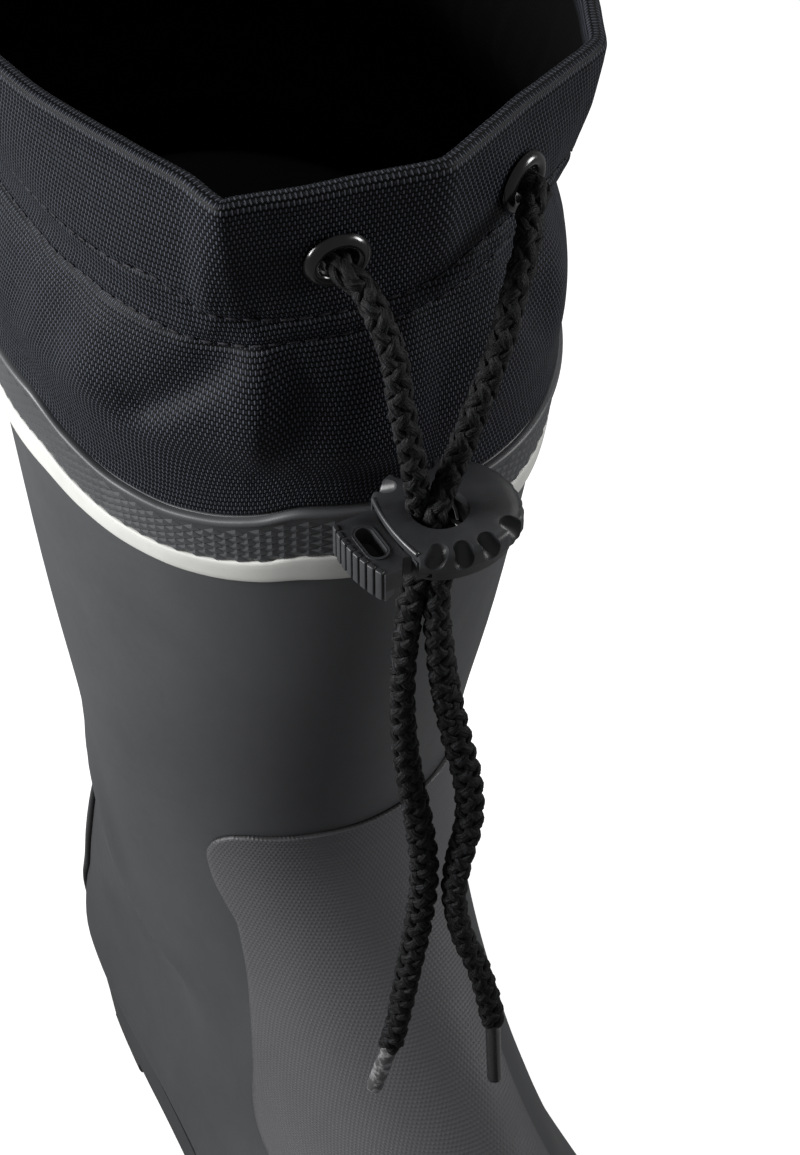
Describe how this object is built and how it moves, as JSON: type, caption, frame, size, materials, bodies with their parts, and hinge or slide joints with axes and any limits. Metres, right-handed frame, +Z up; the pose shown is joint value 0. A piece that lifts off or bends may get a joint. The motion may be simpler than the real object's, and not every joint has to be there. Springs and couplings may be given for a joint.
{
  "type": "rubber boot",
  "caption": "Mid-height rubber boot with a woven drawstring cuff, braided cord and cord lock, off-white stripe, grained instep panel and lugged sole.",
  "frame": {"origin": "on the floor under the middle of the boot's bounding box", "axes": "+Z up the shaft, -Y towards the toe, -X towards the outer side of the foot"},
  "size_m": [0.124, 0.2999, 0.3852],
  "materials": {
    "sole_rubber": "matt moulded rubber",
    "shaft_rubber": "satin dark grey rubber",
    "footbed": "dark felt",
    "grained_rubber": "fine diamond grain",
    "heel_rubber": "satin dark grey rubber",
    "stripe_rubber": "satin off-white rubber",
    "knurled_rubber": "small pyramids",
    "woven_nylon": "coated basket weave",
    "eyelet_metal": "gloss black",
    "braided_cord": "braid",
    "grey_tip": "dark grey with a metallic sheen",
    "black_tip": "gloss black",
    "lock_plastic": "satin black",
    "button_plastic": "satin black"
  },
  "bodies": {
    "boot": {"outsole": "sole_rubber", "upper": "shaft_rubber", "insole": "footbed", "instep_panel": "grained_rubber", "heel_strip": "heel_rubber", "stripe_band": "stripe_rubber", "knurled_band": "knurled_rubber", "cuff": "woven_nylon", "eyelet_lateral": "eyelet_metal", "eyelet_medial": "eyelet_metal", "drawcord_lateral": "braided_cord", "drawcord_medial": "braided_cord", "cord_tip_lateral": "grey_tip", "cord_tip_medial": "black_tip", "lock_body": "lock_plastic"},
    "button": {"lock_plunger": "button_plastic"}
  },
  "joints": [
    {"name": "button_press", "type": "slide", "parent": "boot", "child": "button", "axis": [1, 0, 0], "range_m": [0, 0.0045], "stiffness_N_per_m": 800, "springref_m": -0.004}
  ]
}
